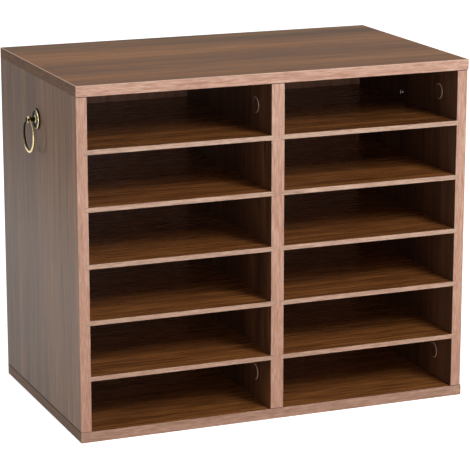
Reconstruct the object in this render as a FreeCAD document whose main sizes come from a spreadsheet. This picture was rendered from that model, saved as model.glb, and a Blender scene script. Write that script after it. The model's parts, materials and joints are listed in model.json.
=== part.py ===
"""Pigeonhole mail sorter: a flat-pack laminated case of two columns of letter-size bays.

Frame: +Z up, the open front faces -Y, and the origin is the centre of the bottom board's
underside. Every size is a cell of the sheet "sizes"; the sheet "layout" works out from them
the places that several pieces share.
"""
import FreeCAD, Part
import math
import os

import Sketcher

Vector = FreeCAD.Vector
SAME_PLACE = 1e-6
LEAST_CUT = 1e-3
doc = FreeCAD.newDocument("mail_sorter")

# ---------------------------------------------------------------- sizes, in millimetres

SIZES = {
    # case
    "case_width": 508, "case_depth": 305, "case_height": 432,
    "board_thick": 13, "divider_thick": 16.5, "right_reveal": 1.5,
    "band_thick": 1, "band_round": 0.4,
    # bays, shelves and back
    "row_count": 6, "back_inset": 22, "shelf_thick": 5.7, "shelf_band_thick": 0.5,
    "shelf_round": 0.25, "dado_depth": 4, "shelf_clear": 0.15,
    "back_thick": 3, "back_groove_depth": 5, "back_clear": 0.15,
    # cam fittings and dowels
    "fitting_inset": 50, "fitting_clear": 0.1,
    "cam_dia": 15, "cam_recess": 0.3, "cam_bevel": 0.5, "socket_dia": 6.6, "socket_depth": 2.5,
    "bolt_reach": 34, "bore_dia": 8, "neck_dia": 4.2, "head_dia": 6.2, "head_thick": 3,
    "thread_dia": 5, "thread_length": 10, "thread_runout": 0.2,
    "dowel_inset": 82, "dowel_dia": 6, "dowel_in_upright": 20, "dowel_in_board": 9.5,
    "cover_dia": 20, "cover_rise": 1.2, "cover_bevel": 0.8, "stub_length": 1.8,
    # ring pulls
    "pull_over_shelf": 10.9167, "rosette_dia": 26, "rim_width": 3.4, "rim_edge": 1,
    "rim_height": 2.8, "rim_bevel": 1.1, "dish_thick": 1.3, "dish_flat": 1,
    "boss_dia": 9.6, "boss_thick": 2,
    "eye_stand": 11, "eye_dia": 8.5, "eye_hole_dia": 3.6, "eye_bevel": 0.5,
    "neck_wide": 5.6, "neck_low": 4.6, "collar_thick": 1, "collar_step": 0.4,
    "ring_radius": 19.8, "wire_top": 2.3, "wire_bottom": 3.5,
    "screw_dia": 3.9, "screw_clear": 0.05, "screw_bite": 4, "screw_point": 0.4, "tap_spare": 0.5,
    "screw_head_dia": 8, "screw_head_rise": 2.6, "screw_bevel": 1.2,
    "recess_wide": 1, "recess_span": 4.4, "recess_depth": 1.4,
}

LAYOUT = {
    "front": "-sizes.case_depth / 2",
    "left_edge": "-sizes.case_width / 2",
    "column_width": "(sizes.case_width - sizes.right_reveal - 2 * sizes.board_thick"
                    " - sizes.divider_thick) / 2",
    "upright_length": "sizes.case_height - 2 * sizes.board_thick",
    "upright_pitch": "column_width + (sizes.board_thick + sizes.divider_thick) / 2",
    "core_width": "sizes.case_width - 2 * sizes.band_thick",
    "core_depth": "sizes.case_depth - sizes.band_thick",
    "core_front": "front + sizes.band_thick",
    "divider_left": "left_edge + sizes.board_thick + column_width",
    "divider_right": "divider_left + sizes.divider_thick",
    "right_side_left": "divider_right + column_width",
    "right_face": "right_side_left + sizes.board_thick",
    "dado_height": "sizes.shelf_thick + 2 * sizes.shelf_clear",
    "row_pitch": "(upright_length + sizes.shelf_thick) / sizes.row_count",
    "first_dado": "row_pitch - sizes.shelf_thick - sizes.shelf_clear",
    "shelf_width": "column_width + 2 * (sizes.dado_depth - sizes.shelf_clear)",
    "bay_depth": "sizes.case_depth - sizes.back_inset",
    "groove_front": "bay_depth - sizes.back_clear",
    "groove_width": "sizes.back_thick + 2 * sizes.back_clear",
    "back_reach": "sizes.back_groove_depth - sizes.back_clear",
    "fitting_y": "sizes.case_depth / 2 - sizes.fitting_inset",
    "fitting_z": "upright_length / 2 - sizes.bolt_reach",
    "dowel_y": "sizes.case_depth / 2 - sizes.dowel_inset",
    # the bolt's head clears the pocket's floor, and its shank ends short of the cam
    "cam_floor": "sizes.head_dia / 2 + sizes.fitting_clear",
    "neck_length": "(sizes.cam_dia - sizes.head_thick) / 2 + 3 * sizes.fitting_clear",
    # the pull's screw comes out inside just over the top shelf
    "pull_z": "sizes.board_thick + (sizes.row_count - 1) * row_pitch + sizes.pull_over_shelf",
    # the ring's arc sags across the eye, and half of that sag goes above the bore's axis
    "ring_lift": "sizes.eye_dia * sizes.eye_dia / (16 * sizes.ring_radius)",
}


def fill_sheet(name, cells, lead=""):
    """A sheet with one aliased cell per entry; lead is "=" where the cells are formulas."""
    sheet = doc.addObject("Spreadsheet::Sheet", name)
    for row, (alias, content) in enumerate(cells.items(), start=1):
        sheet.set(f"A{row}", alias)
        sheet.set(f"B{row}", f"{lead}{content}")
        sheet.setAlias(f"B{row}", alias)
    doc.recompute()
    return sheet


sizes = fill_sheet("sizes", SIZES)
layout = fill_sheet("layout", LAYOUT, lead="=")


def value(expression):
    """The number that an expression in the sheets' aliases stands for now."""
    return float(sizes.evalExpression(expression))


# ---------------------------------------------------------------- bodies and sketches

subparts = []


def new_body(label, at=("0", "0", "0"), turn=0):
    """A sub-part whose own origin stands at the point at, turned about Z by turn degrees."""
    body = doc.addObject("PartDesign::Body", label)
    body.Label = label
    body.Placement = FreeCAD.Placement(Vector(), FreeCAD.Rotation(Vector(0, 0, 1), turn))
    for axis, expression in zip("xyz", at):
        body.setExpression(f"Placement.Base.{axis}", expression)
    subparts.append(body)
    return body


def origin_feature(body, role):
    return next(item for item in body.Origin.OriginFeatures if item.Role == role)


def new_sketch(body, name, role, at=("0", "0", "0")):
    """A sketch on one of the body's origin planes; at moves it right, up and along its normal."""
    sketch = body.newObject("Sketcher::SketchObject", name)
    sketch.AttachmentSupport = [(origin_feature(body, role), "")]
    sketch.MapMode = "FlatFace"
    for axis, expression in zip("xyz", at):
        if expression != "0":
            sketch.setExpression(f"AttachmentOffset.Base.{axis}", expression)
    return sketch


def bind(sketch, kind, *target):
    """One driving constraint; the last item of target is the expression of its value."""
    *points, expression = target
    index = sketch.addConstraint(Sketcher.Constraint(kind, *points, value(expression)))
    sketch.setExpression(f"Constraints[{index}]", expression)


def pin_point(sketch, geometry, point, across, up):
    """Hold a point of the sketch at two expressions, or on an axis where one is "0"."""
    for kind, expression, axis in (("DistanceX", across, -2), ("DistanceY", up, -1)):
        if expression == "0":
            sketch.addConstraint(Sketcher.Constraint("PointOnObject", geometry, point, axis))
        else:
            bind(sketch, kind, -1, 1, geometry, point, expression)


def arc_between(start, end, radius):
    """The arc from start to end, turning left where radius is positive, and its two ends."""
    chord = end - start
    rise = math.sqrt(radius ** 2 - (chord.Length / 2) ** 2)
    left = Vector(-chord.y, chord.x, 0) / chord.Length
    centre = (start + end) / 2 + left * math.copysign(rise, radius)
    begin, finish = [math.atan2(p.y - centre.y, p.x - centre.x) for p in (start, end)]
    if radius < 0:
        begin, finish = finish, begin
    if finish <= begin:
        finish += 2 * math.pi
    circle = Part.Circle(centre, Vector(0, 0, 1), abs(radius))
    return Part.ArcOfCircle(circle, begin, finish), (1, 2) if radius > 0 else (2, 1)


def draw_outline(sketch, corners):
    """A closed outline; a corner is (across, up) or (across, up, radius of the arc that follows)."""
    points = [Vector(value(corner[0]), value(corner[1]), 0) for corner in corners]
    first = sketch.GeometryCount
    ends = []
    for corner, start, end in zip(corners, points, points[1:] + points[:1]):
        if len(corner) == 2:
            sketch.addGeometry(Part.LineSegment(start, end))
            ends.append((1, 2))
        else:
            arc, arc_ends = arc_between(start, end, value(corner[2]))
            sketch.addGeometry(arc)
            ends.append(arc_ends)
    for step, corner in enumerate(corners):
        after = (step + 1) % len(corners)
        sketch.addConstraint(Sketcher.Constraint(
            "Coincident", first + step, ends[step][1], first + after, ends[after][0]))
        pin_point(sketch, first + step, ends[step][0], corner[0], corner[1])
        if len(corner) == 3:
            bind(sketch, "Radius", first + step, f"abs({corner[2]})")


def draw_rectangle(sketch, left, low, wide, high):
    """A rectangle from its lower left corner, its width and its height."""
    right = wide if left == "0" else f"{left} + {wide}"
    top = high if low == "0" else f"{low} + {high}"
    draw_outline(sketch, [(left, low), (right, low), (right, top), (left, top)])


def draw_circle(sketch, across, up, diameter):
    centre = Vector(value(across), value(up), 0)
    circle = Part.Circle(centre, Vector(0, 0, 1), value(diameter) / 2)
    index = sketch.addGeometry(circle)
    pin_point(sketch, index, 3, across, up)
    bind(sketch, "Diameter", index, diameter)


# ---------------------------------------------------------------- features

def pad(body, sketch, length, backwards=False):
    """Add material along the sketch's normal, or against it."""
    item = body.newObject("PartDesign::Pad", f"{sketch.Name}_pad")
    item.Profile = sketch
    item.Reversed = backwards
    item.setExpression("Length", length)
    return item


def pocket(body, sketch, depth, along=False):
    """Cut against the sketch's normal, or along it."""
    item = body.newObject("PartDesign::Pocket", f"{sketch.Name}_cut")
    item.Profile = sketch
    item.Reversed = along
    item.setExpression("Length", depth)
    return item


def revolve(body, sketch, axis="H_Axis"):
    item = body.newObject("PartDesign::Revolution", f"{sketch.Name}_turned")
    item.Profile = sketch
    item.ReferenceAxis = (sketch, [axis])
    item.Angle = 360
    return item


def repeat(body, features, *runs):
    """Repeat features along origin axes; a run is (axis role, number, distance between two)."""
    steps = []
    for role, number, spacing in runs:
        step = doc.addObject("PartDesign::LinearPattern", f"{features[0].Name}_{role[0]}_run")
        body.addObject(step)
        step.Direction = (origin_feature(body, role), [""])
        step.setExpression("Length", f"({number} - 1) * ({spacing})")
        step.setExpression("Occurrences", number)
        steps.append(step)
    pattern = body.newObject("PartDesign::MultiTransform", f"{features[0].Name}_all")
    pattern.Originals = features
    pattern.Transformations = steps
    body.Tip = pattern
    return pattern


def mirror_twice(body, features):
    """Repeat features behind and above the body's own middle."""
    steps = []
    for role in ("XZ_Plane", "XY_Plane"):
        step = doc.addObject("PartDesign::Mirrored", f"{features[0].Name}_{role[:2]}_twin")
        body.addObject(step)
        step.MirrorPlane = (origin_feature(body, role), [""])
        steps.append(step)
    pattern = body.newObject("PartDesign::MultiTransform", f"{features[0].Name}_four")
    pattern.Originals = features
    pattern.Transformations = steps
    body.Tip = pattern
    return pattern


def ease_edges(body, feature, size, wanted, kind="Fillet"):
    """Fillet or chamfer the edges of a feature for which wanted(edge) is true."""
    doc.recompute()
    names = [f"Edge{number}" for number, edge in enumerate(feature.Shape.Edges, start=1)
             if wanted(edge)]
    item = body.newObject(f"PartDesign::{kind}", f"{feature.Name}_eased")
    item.Base = (feature, names)
    item.setExpression("Radius" if kind == "Fillet" else "Size", size)
    return item


def on_front(edge):
    """True for an edge that lies in the body's own front plane."""
    return all(abs(vertex.Y) < SAME_PLACE for vertex in edge.Vertexes)


def upright_front_edge(edge):
    """True for a front edge that runs up the piece."""
    lower, upper = edge.Vertexes[0].Point, edge.Vertexes[-1].Point
    return on_front(edge) and abs(upper.z - lower.z) > SAME_PLACE


# ---------------------------------------------------------------- case boards

UPRIGHT_COUNT = "3"
INNER_WIDTH = "(2 * layout.column_width + sizes.divider_thick)"
CENTRE = "(sizes.board_thick / 2 - sizes.band_thick)"


def level_board(label, low, inner, cut_up):
    """Top or bottom board; its inner face takes the back, the bolts and the dowels.

    inner is the height of that face above the board's own underside."""
    board = new_body(label, at=("layout.left_edge + sizes.band_thick", "layout.core_front", low))
    plan = new_sketch(board, f"{label}_plan", "XY_Plane")
    draw_rectangle(plan, "0", "0", "layout.core_width", "layout.core_depth")
    pad(board, plan, "sizes.board_thick")
    groove = new_sketch(board, f"{label}_groove", "XY_Plane", at=("0", "0", inner))
    draw_rectangle(groove, "(sizes.board_thick - sizes.back_groove_depth - sizes.band_thick)",
                   "(layout.groove_front - sizes.band_thick)",
                   f"({INNER_WIDTH} + 2 * sizes.back_groove_depth)", "layout.groove_width")
    pocket(board, groove, "sizes.back_groove_depth", along=cut_up)
    drillings = (("bolt", "sizes.fitting_inset", "layout.fitting_y", "sizes.thread_dia",
                  "sizes.thread_length + sizes.fitting_clear"),
                 ("dowel", "sizes.dowel_inset", "layout.dowel_y", "sizes.dowel_dia",
                  "sizes.dowel_in_board + sizes.fitting_clear"))
    for kind, inset, reach, diameter, depth in drillings:
        spots = new_sketch(board, f"{label}_{kind}_hole", "XY_Plane", at=("0", "0", inner))
        draw_circle(spots, CENTRE, f"({inset} - sizes.band_thick)", diameter)
        hole = pocket(board, spots, depth, along=cut_up)
        repeat(board, [hole], ("X_Axis", UPRIGHT_COUNT, "layout.upright_pitch"),
               ("Y_Axis", "2", f"2 * {reach}"))
    return board


def cut_dadoes(body, label, thick, faces, length):
    """Shelf dadoes that run in from the front, on the left and right faces that are named."""
    for face in faces:
        left = "0" if face == "left" else f"({thick} - sizes.dado_depth)"
        profile = new_sketch(body, f"{label}_{face}_dado", "XZ_Plane")
        draw_rectangle(profile, left, "layout.first_dado", "sizes.dado_depth",
                       "layout.dado_height")
        cut = pocket(body, profile, length)
        repeat(body, [cut], ("Z_Axis", "(sizes.row_count - 1)", "layout.row_pitch"))


def upright(label, left, thick, depth, dado_faces, cam_face):
    """Side or divider: dadoes, cam pockets in one face, and bores in both ends."""
    board = new_body(label, at=(left, "layout.core_front", "sizes.board_thick"))
    plan = new_sketch(board, f"{label}_plan", "XY_Plane")
    draw_rectangle(plan, "0", "0", thick, f"({depth} - sizes.band_thick)")
    pad(board, plan, "layout.upright_length")
    cut_dadoes(board, label, thick, dado_faces, "layout.bay_depth - sizes.band_thick")
    from_right = cam_face == "right"
    cams = new_sketch(board, f"{label}_cam_pocket", "YZ_Plane",
                      at=("0", "0", thick if from_right else "0"))
    draw_circle(cams, "(sizes.fitting_inset - sizes.band_thick)", "sizes.bolt_reach",
                "sizes.cam_dia")
    cut = pocket(board, cams, f"{thick} / 2 + layout.cam_floor", along=not from_right)
    repeat(board, [cut], ("Y_Axis", "2", "2 * layout.fitting_y"),
           ("Z_Axis", "2", "2 * layout.fitting_z"))
    drillings = (("bolt", "sizes.fitting_inset", "layout.fitting_y", "sizes.bore_dia",
                  "sizes.bolt_reach"),
                 ("dowel", "sizes.dowel_inset", "layout.dowel_y", "sizes.dowel_dia",
                  "sizes.dowel_in_upright + sizes.fitting_clear"))
    for kind, inset, reach, diameter, length in drillings:
        for end, height in (("low", "0"), ("high", "layout.upright_length")):
            spots = new_sketch(board, f"{label}_{kind}_{end}", "XY_Plane", at=("0", "0", height))
            draw_circle(spots, f"({thick} / 2)", f"({inset} - sizes.band_thick)", diameter)
            hole = pocket(board, spots, length, along=end == "low")
            repeat(board, [hole], ("Y_Axis", "2", f"2 * {reach}"))
    return board


def finish_side(board, label, inner_face):
    """What only the two sides have: the back's groove and the pull screw's hole."""
    left = "0" if inner_face == "left" else "(sizes.board_thick - sizes.back_groove_depth)"
    groove = new_sketch(board, f"{label}_back_groove", "XY_Plane")
    draw_rectangle(groove, left, "(layout.groove_front - sizes.band_thick)",
                   "sizes.back_groove_depth", "layout.groove_width")
    pocket(board, groove, "layout.upright_length", along=True)
    spot = new_sketch(board, f"{label}_screw_hole", "YZ_Plane")
    draw_circle(spot, "(sizes.case_depth / 2 - sizes.band_thick)",
                "(layout.pull_z - sizes.board_thick)", "sizes.screw_dia + 4 * sizes.fitting_clear")
    pocket(board, spot, "sizes.board_thick", along=True)


def front_band(label, left, low, wide, high):
    """Edge band on a board's front edge: the body, and the strip whose edges are to be eased."""
    band = new_body(label, at=(left, "layout.front", low))
    face = new_sketch(band, f"{label}_face", "XZ_Plane")
    draw_rectangle(face, "0", "0", wide, high)
    strip = pad(band, face, "sizes.band_thick", backwards=True)
    return band, strip


TOP_LOW = "sizes.case_height - sizes.board_thick"
SIDES = (("left", "layout.left_edge", "right"), ("right", "layout.right_side_left", "left"))

level_board("bottom_panel", "0", "sizes.board_thick", cut_up=False)
level_board("top_panel", TOP_LOW, "0", cut_up=True)

for side, left, inner_face in SIDES:
    panel = upright(f"{side}_side_panel", left, "sizes.board_thick", "sizes.case_depth",
                    (inner_face,), inner_face)
    finish_side(panel, f"{side}_side", inner_face)
upright("centre_divider", "layout.divider_left", "sizes.divider_thick", "layout.bay_depth",
        ("left", "right"), "left")

back = new_body("back_panel", at=(
    "layout.left_edge + sizes.board_thick - layout.back_reach",
    "layout.front + layout.bay_depth", "sizes.board_thick - layout.back_reach"))
sheet_face = new_sketch(back, "back_face", "XZ_Plane")
draw_rectangle(sheet_face, "0", "0", f"({INNER_WIDTH} + 2 * layout.back_reach)",
               "(layout.upright_length + 2 * layout.back_reach)")
pad(back, sheet_face, "sizes.back_thick", backwards=True)

# ---------------------------------------------------------------- edge bands of the case

for level, low in (("top", TOP_LOW), ("bottom", "0")):
    band, strip = front_band(f"{level}_front_band", "layout.left_edge", low,
                             "sizes.case_width", "sizes.board_thick")
    ease_edges(band, strip, "sizes.band_round", on_front)
    for side, left in (("left", "layout.left_edge"),
                       ("right", "-layout.left_edge - sizes.band_thick")):
        label = f"{level}_{side}_end_band"
        end_band = new_body(label, at=(left, "layout.core_front", low))
        plan = new_sketch(end_band, f"{label}_plan", "XY_Plane")
        draw_rectangle(plan, "0", "0", "sizes.band_thick", "layout.core_depth")
        pad(end_band, plan, "sizes.board_thick")

UPRIGHT_BANDS = (
    ("left_side_front_band", "layout.left_edge", "sizes.board_thick", ("right",)),
    ("divider_front_band", "layout.divider_left", "sizes.divider_thick", ("left", "right")),
    ("right_side_front_band", "layout.right_side_left", "sizes.board_thick", ("left",)),
)
for label, left, thick, dado_faces in UPRIGHT_BANDS:
    band, strip = front_band(label, left, "sizes.board_thick", thick, "layout.upright_length")
    ease_edges(band, strip, "sizes.band_round", upright_front_edge)
    cut_dadoes(band, label, thick, dado_faces, "sizes.band_thick")

# ---------------------------------------------------------------- shelves

COLUMNS = (("left", "layout.left_edge + sizes.board_thick"), ("right", "layout.divider_right"))
SHELF_DEPTH = "(layout.bay_depth - sizes.shelf_band_thick - sizes.shelf_clear)"

for column, left in COLUMNS:
    shelf_left = f"{left} - sizes.dado_depth + sizes.shelf_clear"
    for row in range(1, round(value("sizes.row_count"))):
        low = f"sizes.board_thick + {row} * layout.row_pitch - sizes.shelf_thick"
        shelf = new_body(f"shelf_{column}_{row}",
                         at=(shelf_left, "layout.front + sizes.shelf_band_thick", low))
        plan = new_sketch(shelf, f"shelf_{column}_{row}_plan", "XY_Plane")
        draw_rectangle(plan, "0", "0", "layout.shelf_width", SHELF_DEPTH)
        pad(shelf, plan, "sizes.shelf_thick")
        band = new_body(f"shelf_band_{column}_{row}", at=(shelf_left, "layout.front", low))
        face = new_sketch(band, f"shelf_band_{column}_{row}_face", "XZ_Plane")
        draw_rectangle(face, "0", "0", "layout.shelf_width", "sizes.shelf_thick")
        strip = pad(band, face, "sizes.shelf_band_thick", backwards=True)
        ease_edges(band, strip, "sizes.shelf_round", on_front)

# ---------------------------------------------------------------- cams and their covers

CAM_RADIUS = "(sizes.cam_dia / 2 - sizes.fitting_clear)"


def cam_group(label, face_x, thick, turn):
    """Four cams of one upright: the lower front one, and its twins behind and above."""
    group = new_body(label, at=(face_x, "0", "sizes.case_height / 2"), turn=turn)
    corner = ("0", "-layout.fitting_z", "layout.fitting_y")
    axis = f"({thick} / 2)"
    floor = f"({thick} / 2 + layout.cam_floor - sizes.fitting_clear)"
    profile = new_sketch(group, f"{label}_profile", "XZ_Plane", at=corner)
    draw_outline(profile, [
        ("sizes.cam_recess", "0"), (floor, "0"), (floor, CAM_RADIUS),
        ("(sizes.cam_recess + sizes.cam_bevel)", CAM_RADIUS),
        ("sizes.cam_recess", f"({CAM_RADIUS} - sizes.cam_bevel)")])
    disc = revolve(group, profile)
    socket = new_sketch(group, f"{label}_socket", "YZ_Plane",
                        at=("-layout.fitting_y", "-layout.fitting_z", "sizes.cam_recess"))
    draw_circle(socket, "0", "0", "sizes.socket_dia")
    socket_cut = pocket(group, socket, "sizes.socket_depth", along=True)
    slot_half = "(sizes.neck_dia / 2 + 3 * sizes.fitting_clear)"
    slot = new_sketch(group, f"{label}_neck_slot", "YZ_Plane",
                      at=("-layout.fitting_y", "-layout.fitting_z", floor))
    draw_outline(slot, [(f"(-1 * {slot_half})", "-sizes.cam_dia"), (slot_half, "-sizes.cam_dia"),
                        (slot_half, "0"), (f"(-1 * {slot_half})", "0")])
    slot_cut = pocket(group, slot, f"{floor} - {axis} + {slot_half}")
    hollow_half = "(sizes.head_dia / 2 + 2 * sizes.fitting_clear)"
    hollow_end = "(sizes.head_thick / 2 + 3 * sizes.fitting_clear)"
    hollow = new_sketch(group, f"{label}_head_hollow", "YZ_Plane",
                        at=("-layout.fitting_y", "-layout.fitting_z", floor))
    draw_outline(hollow, [
        (f"(-1 * {hollow_half})", f"(-1 * {hollow_end})"), (hollow_half, f"(-1 * {hollow_end})"),
        (hollow_half, hollow_end), (f"(-1 * {hollow_half})", hollow_end)])
    hollow_cut = pocket(group, hollow, f"{floor} - {axis} + {hollow_half}")
    mirror_twice(group, [disc, socket_cut, slot_cut, hollow_cut])


def cover_group(label, face_x, turn):
    """Four bevelled plastic covers, each with a stub that presses into its cam's socket."""
    group = new_body(label, at=(face_x, "0", "sizes.case_height / 2"), turn=turn)
    profile = new_sketch(group, f"{label}_profile", "XZ_Plane",
                         at=("0", "-layout.fitting_z", "layout.fitting_y"))
    radius = "(sizes.cover_dia / 2)"
    stub = "(sizes.socket_dia / 2 - sizes.fitting_clear)"
    draw_outline(profile, [
        ("sizes.stub_length", "0"), ("sizes.stub_length", stub), ("0", stub), ("0", radius),
        ("(sizes.cover_bevel - sizes.cover_rise)", radius),
        ("-sizes.cover_rise", f"({radius} - sizes.cover_bevel)"), ("-sizes.cover_rise", "0")])
    mirror_twice(group, [revolve(group, profile)])


CAM_FACES = (
    ("left_side", "layout.left_edge + sizes.board_thick", "sizes.board_thick", 180),
    ("divider", "layout.divider_left", "sizes.divider_thick", 0),
    ("right_side", "layout.right_side_left", "sizes.board_thick", 0),
)
for name, face_x, thick, turn in CAM_FACES:
    cam_group(f"{name}_cams", face_x, thick, turn)
    cover_group(f"{name}_cam_covers", face_x, turn)

# ---------------------------------------------------------------- bolts and dowels

FIRST_UPRIGHT_X = "layout.left_edge + sizes.board_thick / 2"


def bolt_outline(sign):
    """Half section of a cam bolt, turned about the up axis; sign "-1 *" points it down."""
    shank_end = "(sizes.bolt_reach - sizes.head_thick / 2 - layout.neck_length)"
    head_low = "(sizes.bolt_reach - sizes.head_thick / 2)"
    head_top = "(sizes.bolt_reach + sizes.head_thick / 2)"
    shank = "(sizes.bore_dia / 2 - 2 * sizes.fitting_clear)"
    thread = "(sizes.thread_dia / 2 - sizes.fitting_clear / 2)"
    steps = [("0", "(-1 * sizes.thread_length)"), (thread, "(-1 * sizes.thread_length)"),
             (thread, "sizes.thread_runout"), (shank, "sizes.thread_runout"), (shank, shank_end),
             ("sizes.neck_dia / 2", shank_end), ("sizes.neck_dia / 2", head_low),
             ("sizes.head_dia / 2", head_low), ("sizes.head_dia / 2", head_top),
             ("0", head_top)]
    return [(across, f"({sign} {up})") for across, up in steps]


def dowel_outline(sign):
    """Half section of a dowel."""
    radius = "(sizes.dowel_dia / 2 - sizes.fitting_clear / 2)"
    low = "(-1 * sizes.dowel_in_board)"
    high = "sizes.dowel_in_upright"
    steps = [("0", low), (radius, low), (radius, high), ("0", high)]
    return [(across, f"({sign} {up})") for across, up in steps]


JOINT_LEVELS = (("bottom", "sizes.board_thick", "1 *"), ("top", TOP_LOW, "-1 *"))
for level, height, sign in JOINT_LEVELS:
    for kind, outline, reach in (("cam_bolts", bolt_outline, "layout.fitting_y"),
                                 ("dowels", dowel_outline, "layout.dowel_y")):
        group = new_body(f"{level}_{kind}", at=(FIRST_UPRIGHT_X, "0", height))
        profile = new_sketch(group, f"{level}_{kind}_profile", "XZ_Plane", at=("0", "0", reach))
        draw_outline(profile, outline(sign))
        pin = revolve(group, profile, axis="V_Axis")
        repeat(group, [pin], ("X_Axis", UPRIGHT_COUNT, "layout.upright_pitch"),
               ("Y_Axis", "2", f"2 * {reach}"))

# ---------------------------------------------------------------- ring pulls

SCREW_HOLE = "(sizes.screw_dia / 2 + 2 * sizes.fitting_clear)"
TAP_RADIUS = "(sizes.screw_dia / 2 + sizes.screw_clear)"
RING_CENTRE = "(layout.ring_lift - sizes.ring_radius)"
RING_SPANS = 12


def rosette(label, at, turn):
    """Turned back plate: a raised, bevelled rim round a hollow dish, and a boss for the post."""
    plate = new_body(label, at=at, turn=turn)
    profile = new_sketch(plate, f"{label}_profile", "XZ_Plane")
    radius = "(sizes.rosette_dia / 2)"
    draw_outline(profile, [
        ("0", SCREW_HOLE), ("sizes.boss_thick", SCREW_HOLE),
        ("sizes.boss_thick", "sizes.boss_dia / 2"),
        ("sizes.dish_thick", f"({radius} - sizes.rim_width - sizes.dish_flat)"),
        ("sizes.dish_thick", f"({radius} - sizes.rim_width)"),
        ("sizes.rim_height", f"({radius} - sizes.rim_width + sizes.rim_bevel)"),
        ("sizes.rim_height", f"({radius} - sizes.rim_bevel)"),
        ("sizes.rim_edge", radius), ("0", radius)])
    revolve(plate, profile)


def post(label, at, turn):
    """Post with a collar, a waisted neck and a round eye, tapped for the screw.

    The bevel at the bore's mouths keeps to half of the wall between the bore and the neck."""
    stem = new_body(label, at=at, turn=turn)
    profile = new_sketch(stem, f"{label}_profile", "XZ_Plane")
    neck = "(sizes.neck_wide / 2)"
    collar = "(sizes.boss_dia / 2 - sizes.collar_step)"
    collar_end = "(sizes.boss_thick + sizes.collar_thick)"
    eye = "(sizes.eye_dia / 2)"
    neck_end = f"(sizes.eye_stand - sqrt({eye} * {eye} - {neck} * {neck}))"
    tap_end = "(sizes.boss_thick + sizes.screw_bite + sizes.tap_spare)"
    draw_outline(profile, [
        (tap_end, "0"), ("(sizes.eye_stand + sizes.eye_dia / 2)", "0", eye),
        (neck_end, neck), ("sizes.neck_low", neck), (collar_end, collar),
        ("sizes.boss_thick", collar),
        ("sizes.boss_thick", TAP_RADIUS), (tap_end, TAP_RADIUS)])
    revolve(stem, profile)
    bore = new_sketch(stem, f"{label}_eye_bore", "XZ_Plane", at=("0", "0", eye))
    draw_circle(bore, "sizes.eye_stand", "0", "sizes.eye_hole_dia")
    bored = pocket(stem, bore, "sizes.eye_dia")

    def is_bore_mouth(edge):
        """True for an edge that is as wide and as high as the bore."""
        box = edge.BoundBox
        hole = value("sizes.eye_hole_dia")
        return max(abs(box.ZLength - hole), abs(box.XLength - hole)) < hole / 100

    bore_wall = f"(sizes.eye_stand - sizes.eye_hole_dia / 2 - {neck_end})"
    bevel = f"min(sizes.eye_bevel; {bore_wall} / 2)"
    ease_edges(stem, bored, bevel, is_bore_mouth, kind="Chamfer")


def ring(label, at, turn):
    """Ring that hangs in the eye, drawn thin there and thickening round to its foot.

    Round sections stand along half of the ring, from its crown to its foot; a loft joins
    them, and its mirror image closes the ring."""
    hoop = new_body(label, at=at, turn=turn)
    sections = []
    for step in range(RING_SPANS + 1):
        angle = 180 * step / RING_SPANS
        section = new_sketch(hoop, f"{label}_section_{step}", "XZ_Plane")
        section.AttachmentOffset = FreeCAD.Placement(
            Vector(), FreeCAD.Rotation(Vector(1, 0, 0), angle))
        section.setExpression("AttachmentOffset.Base.y", RING_CENTRE)
        draw_circle(section, "0", "sizes.ring_radius",
                    f"(sizes.wire_top + (sizes.wire_bottom - sizes.wire_top)"
                    f" * (1 - cos({angle} deg)) / 2)")
        sections.append(section)
    half = hoop.newObject("PartDesign::AdditiveLoft", f"{label}_half")
    half.Profile = sections[0]
    half.Sections = sections[1:]
    half.Ruled = True
    whole = hoop.newObject("PartDesign::Mirrored", f"{label}_whole")
    whole.Originals = [half]
    whole.MirrorPlane = (origin_feature(hoop, "XZ_Plane"), [""])
    hoop.Tip = whole


def screw(label, at, turn):
    """Pan head screw from inside the case, through the side and the rosette, into the post."""
    bolt = new_body(label, at=at, turn=turn)
    profile = new_sketch(bolt, f"{label}_profile", "XZ_Plane")
    inside = "(-1 * sizes.board_thick)"
    edge = f"({inside} - sizes.screw_head_rise + sizes.screw_bevel)"
    crown = f"({inside} - sizes.screw_head_rise)"
    tip = "(sizes.boss_thick + sizes.screw_bite)"
    shank = "(sizes.screw_dia / 2)"
    head = "(sizes.screw_head_dia / 2)"
    draw_outline(profile, [
        (crown, "0"), (tip, "0"), (tip, f"({shank} - sizes.screw_point)"),
        (f"({tip} - sizes.screw_point)", shank),
        (inside, shank), (inside, head), (edge, head), (crown, f"({head} - sizes.screw_bevel)")])
    revolve(bolt, profile)
    for name, wide, high in (("slot", "sizes.recess_span", "sizes.recess_wide"),
                             ("cross", "sizes.recess_wide", "sizes.recess_span")):
        recess = new_sketch(bolt, f"{label}_{name}", "YZ_Plane", at=("0", "0", crown))
        draw_outline(recess, [
            (f"(-1 * {wide} / 2)", f"(-1 * {high} / 2)"), (f"({wide} / 2)", f"(-1 * {high} / 2)"),
            (f"({wide} / 2)", f"({high} / 2)"), (f"(-1 * {wide} / 2)", f"({high} / 2)")])
        pocket(bolt, recess, "sizes.recess_depth", along=True)


PULL_FACES = (("left", "layout.left_edge", "-1 *", 180), ("right", "layout.right_face", "1 *", 0))
for side, face_x, sign, turn in PULL_FACES:
    on_panel = (face_x, "0", "layout.pull_z")
    in_eye = (f"{face_x} + {sign} sizes.eye_stand", "0", "layout.pull_z")
    rosette(f"{side}_rosette", on_panel, turn)
    post(f"{side}_pull_post", on_panel, turn)
    ring(f"{side}_pull_ring", in_eye, turn)
    screw(f"{side}_pull_screw", on_panel, turn)

# ---------------------------------------------------------------- check and write

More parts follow.
